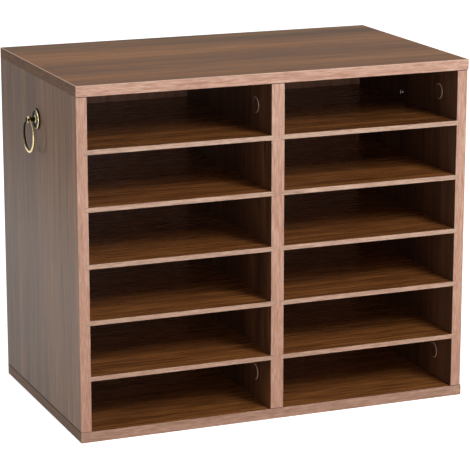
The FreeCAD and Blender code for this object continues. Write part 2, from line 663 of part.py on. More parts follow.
doc.recompute()
for item in doc.Objects:
    if any(word in item.State for word in ("Invalid", "Error")):
        raise RuntimeError(f"{item.Label} failed: {item.State}")
    if item.TypeId == "PartDesign::Pocket":
        if item.BaseFeature.Shape.Volume - item.Shape.Volume < LEAST_CUT:
            raise RuntimeError(f"{item.Label} cuts nothing")
for body in subparts:
    if body.Shape.isNull() or not body.Shape.isValid():
        raise RuntimeError(f"{body.Label} has no valid shape")

os.makedirs("parts", exist_ok=True)
for body in subparts:
    body.Shape.exportStep(f"parts/{body.Label}.step")
print(f"{len(subparts)} sub-parts, {sum(len(body.Shape.Solids) for body in subparts)} solids")
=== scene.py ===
# %% [markdown]
# A pigeonhole mail sorter for a desk: a laminated case with a divider down its middle, ten
# thin loose shelves in dadoes, and a brass ring pull on each side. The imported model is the
# frame that nothing moves. The boards keep their CAD shapes and get finishes here; the small
# turned and cast pieces are drawn again as smooth surfaces.

import json
import math

import bpy
import numpy as np
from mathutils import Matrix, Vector

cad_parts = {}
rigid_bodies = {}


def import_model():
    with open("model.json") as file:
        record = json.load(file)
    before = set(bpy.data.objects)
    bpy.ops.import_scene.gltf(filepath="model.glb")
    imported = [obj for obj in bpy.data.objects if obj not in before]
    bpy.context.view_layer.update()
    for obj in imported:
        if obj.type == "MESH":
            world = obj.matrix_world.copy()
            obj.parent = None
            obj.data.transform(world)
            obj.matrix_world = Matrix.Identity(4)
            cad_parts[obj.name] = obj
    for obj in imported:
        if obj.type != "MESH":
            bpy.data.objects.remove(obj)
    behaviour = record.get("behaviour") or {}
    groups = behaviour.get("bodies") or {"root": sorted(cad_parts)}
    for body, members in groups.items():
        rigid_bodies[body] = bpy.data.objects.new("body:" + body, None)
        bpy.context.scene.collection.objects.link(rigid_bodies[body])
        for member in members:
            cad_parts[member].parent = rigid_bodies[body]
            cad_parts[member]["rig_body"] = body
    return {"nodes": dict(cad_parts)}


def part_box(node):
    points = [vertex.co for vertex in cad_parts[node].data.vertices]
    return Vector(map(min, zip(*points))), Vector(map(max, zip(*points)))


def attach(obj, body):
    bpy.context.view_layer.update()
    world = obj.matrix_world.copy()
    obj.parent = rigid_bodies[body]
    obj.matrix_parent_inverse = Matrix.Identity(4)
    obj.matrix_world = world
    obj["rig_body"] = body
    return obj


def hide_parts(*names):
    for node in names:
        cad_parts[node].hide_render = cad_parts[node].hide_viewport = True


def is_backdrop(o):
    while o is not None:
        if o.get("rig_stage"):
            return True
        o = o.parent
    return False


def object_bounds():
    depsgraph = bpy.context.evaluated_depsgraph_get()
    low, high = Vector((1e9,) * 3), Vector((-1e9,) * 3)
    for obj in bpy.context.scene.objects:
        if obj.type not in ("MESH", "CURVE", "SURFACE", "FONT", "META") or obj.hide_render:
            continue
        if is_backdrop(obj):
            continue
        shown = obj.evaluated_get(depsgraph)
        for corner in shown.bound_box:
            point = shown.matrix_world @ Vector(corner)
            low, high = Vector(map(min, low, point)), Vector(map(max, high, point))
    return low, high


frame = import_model()
nodes = frame["nodes"]
cad_low, cad_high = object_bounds()
MM = 0.001


def in_mm(metres, digits=1):
    """A length for printing, in rounded millimetres."""
    return round(metres / MM, digits)


print(len(nodes), "CAD nodes in a box of", [in_mm(side) for side in cad_high - cad_low], "mm")

# %% [markdown]
# The case measures itself. Where a fitting belongs could be written down again here, but the
# faces of the boards already say it, so the script reads them from the frame, and a changed
# board would carry its fittings along.

# %% Measure the case
left_low, left_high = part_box("left_side_panel")
right_low, right_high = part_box("right_side_panel")
left_face, left_inner = left_low.x, left_high.x
right_inner, right_face = right_low.x, right_high.x
foot_joint, head_joint = left_low.z, left_high.z
divider_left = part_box("centre_divider")[0].x
top_of_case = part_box("top_panel")[1].z
rear_of_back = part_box("back_panel")[1].y
print("the sides stand between", in_mm(foot_joint), "and", in_mm(head_joint), "mm up")

# %% [markdown]
# The camera stands to the left of the case and above it. A wide lens near the case would
# splay its upright edges, so this one stands far off with a long lens, and they stay nearly
# parallel. The focal length is worked out in pixels of a picture 470 wide, and the lens is
# that share of the sensor's width.

# %% Place the camera
PICTURE = 470
SENSOR = 36.0
FOCAL_PIXELS = 2256
CAMERA_SPOT = (-1.0466, -2.5869, 0.8866)
LOOK_ROUND, LOOK_DOWN = math.radians(-22.13), math.radians(13.86)
NEAREST, FARTHEST = 0.1, 30


def put_in_scene(name, data):
    """A new object with its data, linked into the scene."""
    item = bpy.data.objects.new(name, data)
    bpy.context.scene.collection.objects.link(item)
    return item


camera_data = bpy.data.cameras.new("camera")
camera_data.sensor_width = SENSOR
camera_data.lens = FOCAL_PIXELS / PICTURE * SENSOR
camera_data.clip_start, camera_data.clip_end = NEAREST, FARTHEST
camera = put_in_scene("camera", camera_data)
camera.location = CAMERA_SPOT
backwards = Vector((math.sin(LOOK_ROUND) * math.cos(LOOK_DOWN),
                    -math.cos(LOOK_ROUND) * math.cos(LOOK_DOWN), math.sin(LOOK_DOWN)))
camera.rotation_mode = "QUATERNION"
camera.rotation_quaternion = (-backwards).to_track_quat("-Z", "Y")
bpy.context.scene.camera = camera
print("lens", round(camera_data.lens, 1), "mm")

# %% [markdown]
# Every finish is a network of nodes. It could be put together by hand in the shader editor,
# but a script can be read. One helper makes a node and joins or sets its inputs, so that a
# finish is a short list of what feeds what. Colours are written as a paint chart gives them,
# from 0 to 255, and turned into the linear light that shaders add up.

# %% Colours, nodes and links
def paint(red, green, blue):
    """Linear colour of a display colour: below 0.04045 it is divided by 12.92, above it is
    ((c + 0.055) / 1.055) to the power 2.4."""
    shown = np.array([red, green, blue]) / 255
    linear = np.where(shown <= 0.04045, shown / 12.92, ((shown + 0.055) / 1.055) ** 2.4)
    return (*linear.tolist(), 1.0)


def feed(tree, item, inputs):
    """Sets the named inputs of a node, and links every one that is given as a socket."""
    for name, given in inputs.items():
        if isinstance(given, bpy.types.NodeSocket):
            tree.links.new(given, item.inputs[name])
        else:
            item.inputs[name].default_value = given


def add(tree, kind, inputs=None, **settings):
    """Adds a node of a kind with its settings and feeds its inputs."""
    item = tree.nodes.new("ShaderNode" + kind)
    for name, setting in settings.items():
        setattr(item, name, setting)
    feed(tree, item, inputs or {})
    return item


def start_finish(name):
    """A new node material, its tree and its main shader."""
    finish = bpy.data.materials.new(name)
    finish.use_nodes = True
    return finish, finish.node_tree, finish.node_tree.nodes["Principled BSDF"]


print("paint (128, 96, 64) is", [round(c, 3) for c in paint(128, 96, 64)[:3]])

# %% [markdown]
# Most finishes need the same few steps: a sum, a smooth step, a mix of two colours, and a
# ramp through several. Written out each time they would bury what a finish does, so each
# is a function that gives back a socket.

# %% Sums, steps and colours
def ramp(tree, factor, stops, colours):
    """A colour ramp through colours, each at its stop between 0 and 1."""
    item = add(tree, "ValToRGB", {"Fac": factor})
    band = item.color_ramp
    while len(band.elements) < len(stops):
        band.elements.new(0.5)
    for element, stop, colour in zip(band.elements, stops, colours):
        element.position = stop
        element.color = colour
    return item.outputs["Color"]


def math_node(tree, what, *values):
    """One sum, as a node: its values may be numbers or sockets."""
    return add(tree, "Math", dict(enumerate(values)), operation=what).outputs[0]


def step_between(tree, value, low, high):
    """A smooth step from 0 at low to 1 at high."""
    return add(tree, "MapRange", {"Value": value, "From Min": low, "From Max": high},
               interpolation_type="SMOOTHSTEP").outputs[0]


def blend(tree, factor, first, second, how="MIX"):
    """Mixes two colours; at a factor of 1 only the second is left. A Mix node's sockets for
    numbers, vectors and colours share their names, so those for colours go by number."""
    inputs = {0: factor, 6: first, 7: second}
    return add(tree, "Mix", inputs, data_type="RGBA", blend_type=how).outputs[2]


print("a finish can add up, step, mix and ramp")

# %% [markdown]
# A pattern has to know where on the piece it is. A picture would need the surface unwrapped
# flat. These patterns fill space, so the place on the object will do, and since every piece
# keeps its points where they are in the case, a height there is a height in a finish.

# %% Where a point is
def object_place(tree):
    """A point's place on its object, in metres. For a CAD node it is the place in the case."""
    return add(tree, "TexCoord").outputs["Object"]


def coordinate(tree, axis):
    """One coordinate of that place."""
    return add(tree, "SeparateXYZ", {0: object_place(tree)}).outputs[axis]


print("top of the case at Z =", in_mm(top_of_case), "mm")

# %% [markdown]
# The case stands on a plain white floor that keeps its shadow. More light would whiten the
# floor, but it would bleach the case too. So the lamps stay at a level where a colour shows
# about as it is written, and the white is a glow that only the camera's rays meet, straight,
# mirrored or let through. It grows away from the case, so that the floor meets the world
# unseen.

# %% The floor
WHITE = (1.0, 1.0, 1.0, 1.0)
FLOOR_HALF = 4.0
FLOOR_PAPER = {"Base Color": (0.8, 0.8, 0.8, 1.0), "Roughness": 0.9, "Specular IOR Level": 0.0}
FLOOR_LIFT = 0.88
GLOW_NEAR, GLOW_FAR = 0.5, 1.5


def seen_rays(tree):
    """1 for a ray that shows the background, 0 for one that carries light to a surface."""
    path = add(tree, "LightPath").outputs
    straight_or_mirrored = math_node(tree, "MAXIMUM", path["Is Camera Ray"], path["Is Glossy Ray"])
    return math_node(tree, "MAXIMUM", straight_or_mirrored, path["Is Transmission Ray"])


floor_corners = np.array([(-1, -1, 0), (1, -1, 0), (1, 1, 0), (-1, 1, 0)], float) * FLOOR_HALF
floor_mesh = bpy.data.meshes.new("floor")
floor_mesh.from_pydata(floor_corners.tolist(), [], [(0, 1, 2, 3)])
floor = put_in_scene("floor", floor_mesh)
floor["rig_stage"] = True

floor_paper, tree, shader = start_finish("floor_paper")
feed(tree, shader, FLOOR_PAPER)
away = add(tree, "VectorMath", {0: object_place(tree)}, operation="LENGTH").outputs["Value"]
lift = math_node(tree, "MULTIPLY_ADD", step_between(tree, away, GLOW_NEAR, GLOW_FAR),
                 1 - FLOOR_LIFT, FLOOR_LIFT)
strength = math_node(tree, "MULTIPLY", seen_rays(tree), lift)
glow = add(tree, "Emission", {"Color": WHITE, "Strength": strength})
both = add(tree, "AddShader", {0: shader.outputs[0], 1: glow.outputs[0]})
feed(tree, tree.nodes["Material Output"], {"Surface": both.outputs[0]})
floor_mesh.materials.append(floor_paper)
print("floor of", 2 * FLOOR_HALF, "m across")

# %% [markdown]
# The world is what a ray meets when it misses everything. It is white for the same rays as
# the floor's glow, and for all others a dim light from every side, as many lamps would give.

# %% The world
AMBIENT = 0.22

world = bpy.data.worlds.new("white_room")
bpy.context.scene.world = world
world.use_nodes = True
tree = world.node_tree
strength = math_node(tree, "MULTIPLY_ADD", seen_rays(tree), 1 - AMBIENT, AMBIENT)
feed(tree, tree.nodes["Background"], {"Color": WHITE, "Strength": strength})
bpy.context.scene.view_settings.view_transform = "Standard"
print("ambient light", AMBIENT)

# %% [markdown]
# One strong lamp stands high to the front right and lights the bays from their mouths, and
# wide, weak ones fill its shadows. Wood under film shows its haze only where a lamp stands
# near the mirrored line of sight, so a small lamp behind to the left skims the left side,
# and it also throws the ring's shadow forward. Points of light would cast hard shadows, so
# the lamps are squares, like the soft boxes of a studio.

# %% Lamps
case_middle = (cad_low + cad_high) / 2


def soft_lamp(name, spot, size, watts):
    """A square lamp of a size that stands at a spot and faces the middle of the case."""
    data = bpy.data.lights.new(name, "AREA")
    data.shape = "SQUARE"
    data.size = size
    data.energy = watts
    lamp = put_in_scene(name, data)
    lamp.location = spot
    lamp.rotation_mode = "QUATERNION"
    lamp.rotation_quaternion = (case_middle - Vector(spot)).to_track_quat("-Z", "Y")


LAMPS = (
    ("front_lamp", (0.7, -1.75, 1.5), 0.7, 27),
    ("fill_lamp", (-0.75, -2.6, 0.5), 0.8, 6.5),
    ("over_lamp", (0.6, 0.3, 2.4), 1.2, 14),
    ("left_lamp", (-1.95, 2.28, 0.24), 0.28, 12),
    ("low_lamp", (-1.95, -0.45, 0.2), 0.8, 6.5),
)
for lamp_name, spot, size, watts in LAMPS:
    soft_lamp(lamp_name, spot, size, watts)
    print(lamp_name, watts, "W from", spot)

# %% [markdown]
# The boards are chipboard under a printed walnut film. A print of straight grain has broad
# bands from sawing through the rings, streaks within them, and short dark pores, all drawn
# out along the board. A picture of wood would repeat, and would have to be unwrapped onto
# each board. Noise needs neither: it is laid on the board's own place, squeezed along the
# grain, and bent a little by slower noise so that no line is ruled.

# %% Grain
AXES = {"X": 0, "Y": 1, "Z": 2}
BEND, SLIGHT_BEND = 6 * MM, 2 * MM
WAVERS_PER_METRE, WAVER_SQUEEZE = 9.0, 0.35


def axis_scale(along, squeeze):
    """A scale of 1 on each axis, and of squeeze on the one that the grain runs along."""
    scale = [1.0, 1.0, 1.0]
    scale[AXES[along]] = squeeze
    return tuple(scale)


def grain_place(tree, along, squeeze, bend=BEND):
    """The place on the object, shifted by up to bend metres by slow noise, then multiplied
    by squeeze along the grain, which draws every figure out that way."""
    place = object_place(tree)
    slow = add(tree, "Mapping", {"Vector": place, "Scale": axis_scale(along, WAVER_SQUEEZE)})
    waver = add(tree, "TexNoise", {"Vector": slow.outputs[0], "Scale": WAVERS_PER_METRE,
                                   "Detail": 1.0})
    moved = add(tree, "VectorMath", {0: waver.outputs["Color"], 1: (bend,) * 3, 2: place},
                operation="MULTIPLY_ADD")
    drawn = add(tree, "Mapping", {"Vector": moved.outputs[0], "Scale": axis_scale(along, squeeze)})
    return drawn.outputs[0]


def figure(tree, place, per_metre, detail=2.0):
    """Noise between 0 and 1 with so many figures in a metre across the grain."""
    return add(tree, "TexNoise", {"Vector": place, "Scale": per_metre,
                                  "Detail": detail}).outputs["Fac"]


print("grain along Z is scaled by", axis_scale("Z", WAVER_SQUEEZE), "for its slow bends")

# %% [markdown]
# Every board but the back, every band and every dowel wears this print in tones and widths
# of its own. Made one by one they would drift apart, so one function makes them all.

# %% One print for every wood
BAND_SQUEEZE, STREAK_SQUEEZE, FIBRE_SQUEEZE = 0.05, 0.04, 0.03
STREAKS, FIBRES, PORES = 5, 16, 44
TONE_STOPS = (0.39, 0.5, 0.61)
PORE_EDGE = (0.6, 0.72)
PORE_DENT = 0.6
GRAIN_RELIEF = {"Strength": 0.25, "Distance": 0.3 * MM}
SATIN_SPREAD = 0.16


def wood_print(name, along, tones, coarse=26.0, shares=(0.4, 0.28, 0.32), gloss=0.3,
               roughness=0.5, pore_ink=0.5, short=1.0, over=None):
    """Printed wood along an axis, with coarse bands in a metre and so many streaks, fibres
    and pores to a band. The first three are added up in their shares and coloured from dark
    through middle to light tones; pores are inked dark. Figures that are short are drawn out
    that many times less. What is told to go over the print, such as a joint's shadow, gets
    the tree and the colour."""
    finish, tree, shader = start_finish(name)
    dark = tones[0]
    long_place = grain_place(tree, along, BAND_SQUEEZE * short)
    streak_place = grain_place(tree, along, STREAK_SQUEEZE * short)
    fibre_place = grain_place(tree, along, FIBRE_SQUEEZE * short, SLIGHT_BEND)
    pore_place = grain_place(tree, along, BAND_SQUEEZE * short, SLIGHT_BEND)
    bands = figure(tree, long_place, coarse)
    streaks = figure(tree, streak_place, coarse * STREAKS, detail=3.0)
    fibres = figure(tree, fibre_place, coarse * FIBRES)
    pores = figure(tree, pore_place, coarse * PORES, detail=1.0)
    tone = math_node(tree, "MULTIPLY", bands, shares[0])
    tone = math_node(tree, "MULTIPLY_ADD", streaks, shares[1], tone)
    tone = math_node(tree, "MULTIPLY_ADD", fibres, shares[2], tone)
    printed = ramp(tree, tone, TONE_STOPS, tones)
    open_pore = step_between(tree, pores, *PORE_EDGE)
    inked = blend(tree, math_node(tree, "MULTIPLY", open_pore, pore_ink), printed, dark)
    height = math_node(tree, "MULTIPLY_ADD", open_pore, -PORE_DENT, fibres)
    grain = add(tree, "Bump", {"Height": height, **GRAIN_RELIEF})
    satin = math_node(tree, "MULTIPLY_ADD", streaks, SATIN_SPREAD, roughness - SATIN_SPREAD / 2)
    feed(tree, shader, {"Base Color": over(tree, inked) if over else inked, "Roughness": satin,
                        "Normal": grain.outputs[0], "Specular IOR Level": gloss})
    return finish


print("a print has", STREAKS, "streaks,", FIBRES, "fibres and", PORES, "pores to a band")

# %% [markdown]
# Where the sides stand on the bottom a dark joint shows. A gap could be cut there, but the boards
# belong to the CAD model, and the real joint is closed and only looks open. So its shade is
# painted: in a fine line at the joint's height the colour goes over to a painted shade, and the
# gloss goes to nothing, because no light comes back out of a joint.

# %% Joint lines of painted shade
JOINT_SHADE = paint(38, 24, 17)
JOINT_HALF = 0.9 * MM
JOINT_CORE = 0.4


def closed_at(tree, joint):
    """0 in the core of a joint's line, rising smoothly to 1 at its half width."""
    off = math_node(tree, "ABSOLUTE", math_node(tree, "SUBTRACT", coordinate(tree, "Z"), joint))
    return step_between(tree, off, JOINT_HALF * JOINT_CORE, JOINT_HALF)


def foot_shade_line(tree, colour):
    """The painted shade line where an upright stands on the bottom board."""
    return blend(tree, closed_at(tree, foot_joint), JOINT_SHADE, colour)


def joint_shade_lines(tree, colour):
    """The painted shade line at the foot, and the one where an upright meets the top board."""
    return blend(tree, closed_at(tree, head_joint), JOINT_SHADE, foot_shade_line(tree, colour))


def open_foot_joint(finish):
    """Takes a finish's gloss down to 0 in the line at the foot."""
    tree = finish.node_tree
    shader = tree.nodes["Principled BSDF"]
    gloss = shader.inputs["Specular IOR Level"].default_value
    feed(tree, shader, {"Specular IOR Level": math_node(tree, "MULTIPLY",
                                                        closed_at(tree, foot_joint), gloss)})


print("joint lines", in_mm(2 * JOINT_HALF), "mm wide at", in_mm(foot_joint), "and",
      in_mm(head_joint), "mm up")

# %% [markdown]
# One board of film isn't the same tone all over. The top has a dark heart along its back. On the
# sides a painted shade deepens the print from the front towards the back, and a darker painted
# shade lies on their inner faces in the bays. These could be boards of their own materials, but
# the change is gradual, so a tint is multiplied over the print where one coordinate says so.

# %% Tints and painted shade over the walnut
HEART_EDGE = (75 * MM, 125 * MM)
HEART_TINT = (0.72, 0.8, 0.86, 1.0)
# Painted shade on the sides: deeper towards the back, and deeper still on their inner faces in the
# bays.
SHADE_BEHIND_EDGE = (-90 * MM, 30 * MM)
SHADE_BEHIND_TINT = (0.76, 0.82, 0.92, 1.0)
INNER_SKIN = 0.5 * MM
BAY_SHADE_TINT = (0.5, 0.38, 0.31, 1.0)


def tint(tree, colour, by):
    """A colour multiplied by another."""
    return blend(tree, 1.0, colour, by, how="MULTIPLY")


def heart_streak(tree, colour):
    """The top's print goes over to its dark heart from one place along Y to the other."""
    behind = step_between(tree, coordinate(tree, "Y"), *HEART_EDGE)
    return blend(tree, behind, colour, tint(tree, colour, HEART_TINT))


def side_print_and_shade(tree, colour):
    """The sides' print goes over from the front to a painted shade behind. Within a skin of the
    bays their inner faces get a darker painted shade, and at the foot the painted shade line of
    the joint."""
    behind = step_between(tree, coordinate(tree, "Y"), *SHADE_BEHIND_EDGE)
    shown = blend(tree, behind, colour, tint(tree, colour, SHADE_BEHIND_TINT))
    middle, half = (left_inner + right_inner) / 2, (right_inner - left_inner) / 2
    off = math_node(tree, "ABSOLUTE", math_node(tree, "SUBTRACT", coordinate(tree, "X"), middle))
    outside = step_between(tree, off, half + INNER_SKIN, half + 2 * INNER_SKIN)
    return foot_shade_line(tree, blend(tree, outside, tint(tree, colour, BAY_SHADE_TINT), shown))


print("the heart begins", in_mm(HEART_EDGE[0]), "mm behind the middle")

# %% [markdown]
# There are four walnuts: for the top, for the sides, a darker copy for the divider, whose deeper
# tone is painted shade inside the bays, and a lighter one for the shelves and the bottom. Each is
# one call with its dark, middle and light tones.

# %% The walnut finishes
TOP_WALNUT = (paint(84, 56, 38), paint(115, 78, 50), paint(145, 100, 63))
walnut_on_top = wood_print("walnut_on_top", "X", TOP_WALNUT, gloss=0.08, roughness=0.58,
                           over=heart_streak)
SIDE_WALNUT = (paint(80, 57, 42), paint(111, 82, 60), paint(140, 103, 76))
walnut_on_sides = wood_print("walnut_on_sides", "Z", SIDE_WALNUT, coarse=40.0,
                             shares=(0.3, 0.42, 0.28), gloss=0.28, roughness=0.54,
                             over=side_print_and_shade)
open_foot_joint(walnut_on_sides)
# The divider's darker walnut is painted shade for the inside of the bays.
SHADED_INNER_WALNUT = (paint(44, 25, 16), paint(80, 50, 31), paint(122, 79, 46))
shaded_walnut_inside = wood_print("shaded_walnut_inside", "Z", SHADED_INNER_WALNUT, coarse=40.0,
                           shares=(0.22, 0.36, 0.42), gloss=0.5, roughness=0.4,
                           over=joint_shade_lines)
SHELF_WALNUT = (paint(94, 56, 29), paint(138, 86, 45), paint(178, 116, 62))
shelf_walnut = wood_print("shelf_walnut", "X", SHELF_WALNUT, coarse=45.0,
                          shares=(0.2, 0.35, 0.45), gloss=0.5, roughness=0.27, pore_ink=0.4)
print("walnut prints:", walnut_on_top.name, walnut_on_sides.name, shaded_walnut_inside.name,
      shelf_walnut.name)

# %% [markdown]
# Hands carry the case by its pulls, and they rub the film of the sides matt round them. That
# is not a change of colour but of roughness. It rises with height, so the foot of a side
# shines a little more than its head. What the print already does stays: the rise is added
# to whatever feeds the roughness.

# %% Rubbed sides
RUBBED = (170 * MM, 390 * MM)


def rub(finish, rise):
    """Adds to a finish's roughness a rise that comes in smoothly between the two heights."""
    tree = finish.node_tree
    shader = tree.nodes["Principled BSDF"]
    satin = shader.inputs["Roughness"].links[0].from_socket
    high_up = step_between(tree, coordinate(tree, "Z"), *RUBBED)
    feed(tree, shader, {"Roughness": math_node(tree, "MULTIPLY_ADD", high_up, rise, satin)})


rub(walnut_on_sides, rise=0.19)
print("sides are rubbed from", in_mm(RUBBED[0]), "to", in_mm(RUBBED[1]), "mm up")

# %% [markdown]
# The edges are closed with a thin band ironed on. On the front it is a paler, pinker slice of the
# same wood with a fine, short grain, darkened low on the case by painted shade; on the ends of the
# top and the bottom it is as dark as the film. Along the top, where the band was trimmed flush, a
# fine pale line is a painted highlight on its edge. That line is too thin to be a piece, so it is
# coloured by its height, as the painted shade of the joints is.

# %% Painted highlight and shade over the bands
TRIM = 0.5 * MM
# A painted highlight: the pale line along the trimmed top edge of the bands.
EDGE_HIGHLIGHT = paint(226, 192, 166)
EDGE_HIGHLIGHT_SHARE = 0.8
# Painted shade: the bands darken and brown towards the foot of the case.
FOOT_SHADE_TINT = (0.91, 0.84, 0.8, 1.0)


def painted_edge_highlight(tree, colour):
    """The pale line of a painted highlight on the band's trimmed edge, within TRIM of the top of
    the case.
    """
    bare = step_between(tree, coordinate(tree, "Z"), top_of_case - TRIM, top_of_case - TRIM / 2)
    return blend(tree, math_node(tree, "MULTIPLY", bare, EDGE_HIGHLIGHT_SHARE), colour, EDGE_HIGHLIGHT)


def painted_foot_shade(tree, colour):
    """Painted shade: the band grows darker and browner low on the case; the tint comes in smoothly
    from the top board down to the bottom board."""
    high_up = step_between(tree, coordinate(tree, "Z"), foot_joint, head_joint)
    return blend(tree, high_up, tint(tree, colour, FOOT_SHADE_TINT), colour)


def end_band(tree, colour):
    """An end's band: a painted highlight along its top edge, and the painted shade line of the
    joint at the foot.
    """
    return foot_shade_line(tree, painted_edge_highlight(tree, colour))


def upright_band(tree, colour):
    """An upright's band: darkened at the foot by painted shade, and painted shade lines at the
    joints at both ends.
    """
    return joint_shade_lines(tree, painted_foot_shade(tree, colour))


# The core in this print is the painted highlight along the top edge.
print("the core shows", in_mm(TRIM), "mm deep, at", in_mm(top_of_case), "mm up")

# %% [markdown]
# The bands could be painted on the boards' edges, but they are pieces of their own, so each
# only needs the same print in its own tones.

# %% The edge bands
FINE = {"coarse": 130.0, "shares": (0.12, 0.4, 0.48), "pore_ink": 0.35, "short": 1.6}
BAND_TONES = (paint(174, 129, 108), paint(199, 155, 134), paint(220, 181, 160))
band_along_x = wood_print("band_along_x", "X", BAND_TONES, over=painted_edge_highlight, **FINE)
band_along_z = wood_print("band_along_z", "Z", BAND_TONES, over=upright_band, **FINE)
# The bottom board's band has darker tones: painted shade low on the case.
SHADED_FOOT_TONES = (paint(146, 108, 87), paint(174, 134, 113), paint(196, 157, 136))
shaded_band_at_foot = wood_print("shaded_band_at_foot", "X", SHADED_FOOT_TONES, **FINE)
END_TONES = (paint(84, 61, 47), paint(106, 79, 61), paint(128, 98, 77))
band_on_ends = wood_print("band_on_ends", "Y", END_TONES, gloss=0.1, roughness=0.55,
                          over=end_band, **FINE)
rub(band_on_ends, rise=0.2)
open_foot_joint(band_on_ends)
SHELF_EDGE_TONES = (paint(168, 133, 112), paint(195, 161, 140), paint(217, 185, 164))
band_on_shelves = wood_print("band_on_shelves", "X", SHELF_EDGE_TONES, over=painted_foot_shade,
                             **FINE)
print("edge bands:", band_along_x.name, band_along_z.name, shaded_band_at_foot.name,
      band_on_ends.name, band_on_shelves.name)

# %% [markdown]
# The back is a thin hardboard, filmed on the side that shows between the shelves. Its rear
# is bare: fine matted fibres with no grain, so noise without any squeeze colours it. Two
# materials would need the faces of the board sorted between them. One material that looks
# at the depth of each point does without, and it can't leave an edge unfinished.

# %% Back panel
REAR_SKIN = 0.4 * MM
FILM_PER_METRE, FILM_TONES = 90.0, (paint(156, 110, 91), paint(192, 141, 117))
FILM_STOPS = (0.38, 0.62)
FLECKS_PER_METRE, CLOUDS_PER_METRE, FLECK_SHARE = 900.0, 14.0, 0.75
FIBRE_TONES = (paint(84, 62, 46), paint(108, 82, 62), paint(132, 104, 80))
FIBRE_STOPS = (0.36, 0.5, 0.64)
FILM_ROUGHNESS, FIBRE_ROUGHNESS = 0.25, 0.8
FELT_RELIEF = {"Strength": 0.4, "Distance": 0.4 * MM}


def hardboard(name):
    """Walnut film at the front of the board and matted fibres on its rear face."""
    finish, tree, shader = start_finish(name)
    film_tone = figure(tree, grain_place(tree, "Z", BAND_SQUEEZE), FILM_PER_METRE, detail=4.0)
    film = ramp(tree, film_tone, FILM_STOPS, FILM_TONES)
    flecks = figure(tree, object_place(tree), FLECKS_PER_METRE, detail=3.0)
    clouds = figure(tree, object_place(tree), CLOUDS_PER_METRE)
    matted = math_node(tree, "MULTIPLY_ADD", flecks, FLECK_SHARE,
                       math_node(tree, "MULTIPLY", clouds, 1 - FLECK_SHARE))
    fibre = ramp(tree, matted, FIBRE_STOPS, FIBRE_TONES)
    is_rear = step_between(tree, coordinate(tree, "Y"), rear_of_back - 2 * REAR_SKIN,
                           rear_of_back - REAR_SKIN)
    rough = math_node(tree, "MULTIPLY_ADD", is_rear, FIBRE_ROUGHNESS - FILM_ROUGHNESS,
                      FILM_ROUGHNESS)
    felt = add(tree, "Bump", {"Height": math_node(tree, "MULTIPLY", flecks, is_rear),
                              **FELT_RELIEF})
    feed(tree, shader, {"Base Color": blend(tree, is_rear, film, fibre), "Roughness": rough,
                        "Normal": felt.outputs[0]})
    return finish


back_film = hardboard("back_film")
print("back panel:", back_film.name, "with bare fibres behind", in_mm(rear_of_back - REAR_SKIN),
      "mm")

# %% [markdown]
# Brass for such pulls is darkened in a bath and then buffed, which leaves it dark in its hollows
# and bright where cloth, hands and the hanging ring touch it. The shape could be asked where it is
# hollow, but few tools outside the renderer can answer that. So the surfaces carry the answer as
# an attribute, 0 in a hollow to 1 on a crown, and the finish only lets it wander a little with
# noise. The same attribute also carries painted highlights towards the front of each piece and on
# the ring's outer side, so the ring's rear half stays dark as painted shade.

# %% Aged brass
BLOTCHES_PER_METRE, BLOTCH_SHARE, PATINA_HOLD = 520.0, 0.6, 0.3
BARE_EDGE = (0.1, 0.75)
BRASS_STOPS = (0.0, 0.45, 1.0)
BRASS_TONES = (paint(36, 32, 25), paint(92, 78, 52), paint(222, 201, 152))
PATINA_ROUGHNESS, BUFFED_ROUGHNESS = 0.5, 0.28
CAST_RELIEF = {"Strength": 0.2, "Distance": 0.2 * MM}


def aged_brass(name):
    """Brass whose patina gives way where the surface's own 'rubbed' attribute is high; that
    attribute holds wear and painted highlights.
    """
    finish, tree, shader = start_finish(name)
    rubbed = add(tree, "Attribute", attribute_name="rubbed").outputs["Fac"]
    blotches = figure(tree, object_place(tree), BLOTCHES_PER_METRE, detail=4.0)
    bare = math_node(tree, "MULTIPLY_ADD", blotches, BLOTCH_SHARE,
                     math_node(tree, "SUBTRACT", rubbed, PATINA_HOLD))
    bare = step_between(tree, bare, *BARE_EDGE)
    rough = math_node(tree, "MULTIPLY_ADD", bare, BUFFED_ROUGHNESS - PATINA_ROUGHNESS,
                      PATINA_ROUGHNESS)
    skin = add(tree, "Bump", {"Height": blotches, **CAST_RELIEF})
    feed(tree, shader, {"Base Color": ramp(tree, bare, BRASS_STOPS, BRASS_TONES),
                        "Roughness": rough, "Normal": skin.outputs[0], "Metallic": 1.0})
    return finish


brass = aged_brass("aged_brass")
print("brass goes from roughness", PATINA_ROUGHNESS, "down to", BUFFED_ROUGHNESS)

# %% [markdown]
# The other fittings are small: zinc with a cast skin, bright plated steel, brown plastic
# with a soft shine, and beech dowels. Each needs only what the eye catches at that size, so
# one speckle of noise shades the colour, the shine and the skin of the first three, and the
# dowels are wood in a fine print.

# %% Zinc, steel, plastic and beech
SPECKLE_STOPS = (0.35, 0.65)
SPECKLE_RELIEF = {"Strength": 0.1, "Distance": 0.2 * MM}
COAT_ROUGHNESS = 0.1


def plain_finish(name, tones, per_metre, rough_from, rough_by, metallic=0.0, coat=0.0):
    """A finish of one kind of fine speckle, which shades its colour, shine and skin."""
    finish, tree, shader = start_finish(name)
    speckle = figure(tree, object_place(tree), per_metre, detail=3.0)
    skin = add(tree, "Bump", {"Height": speckle, **SPECKLE_RELIEF})
    feed(tree, shader, {
        "Base Color": ramp(tree, speckle, SPECKLE_STOPS, tones),
        "Roughness": math_node(tree, "MULTIPLY_ADD", speckle, rough_by, rough_from),
        "Normal": skin.outputs[0], "Metallic": metallic,
        "Coat Weight": coat, "Coat Roughness": COAT_ROUGHNESS})
    return finish


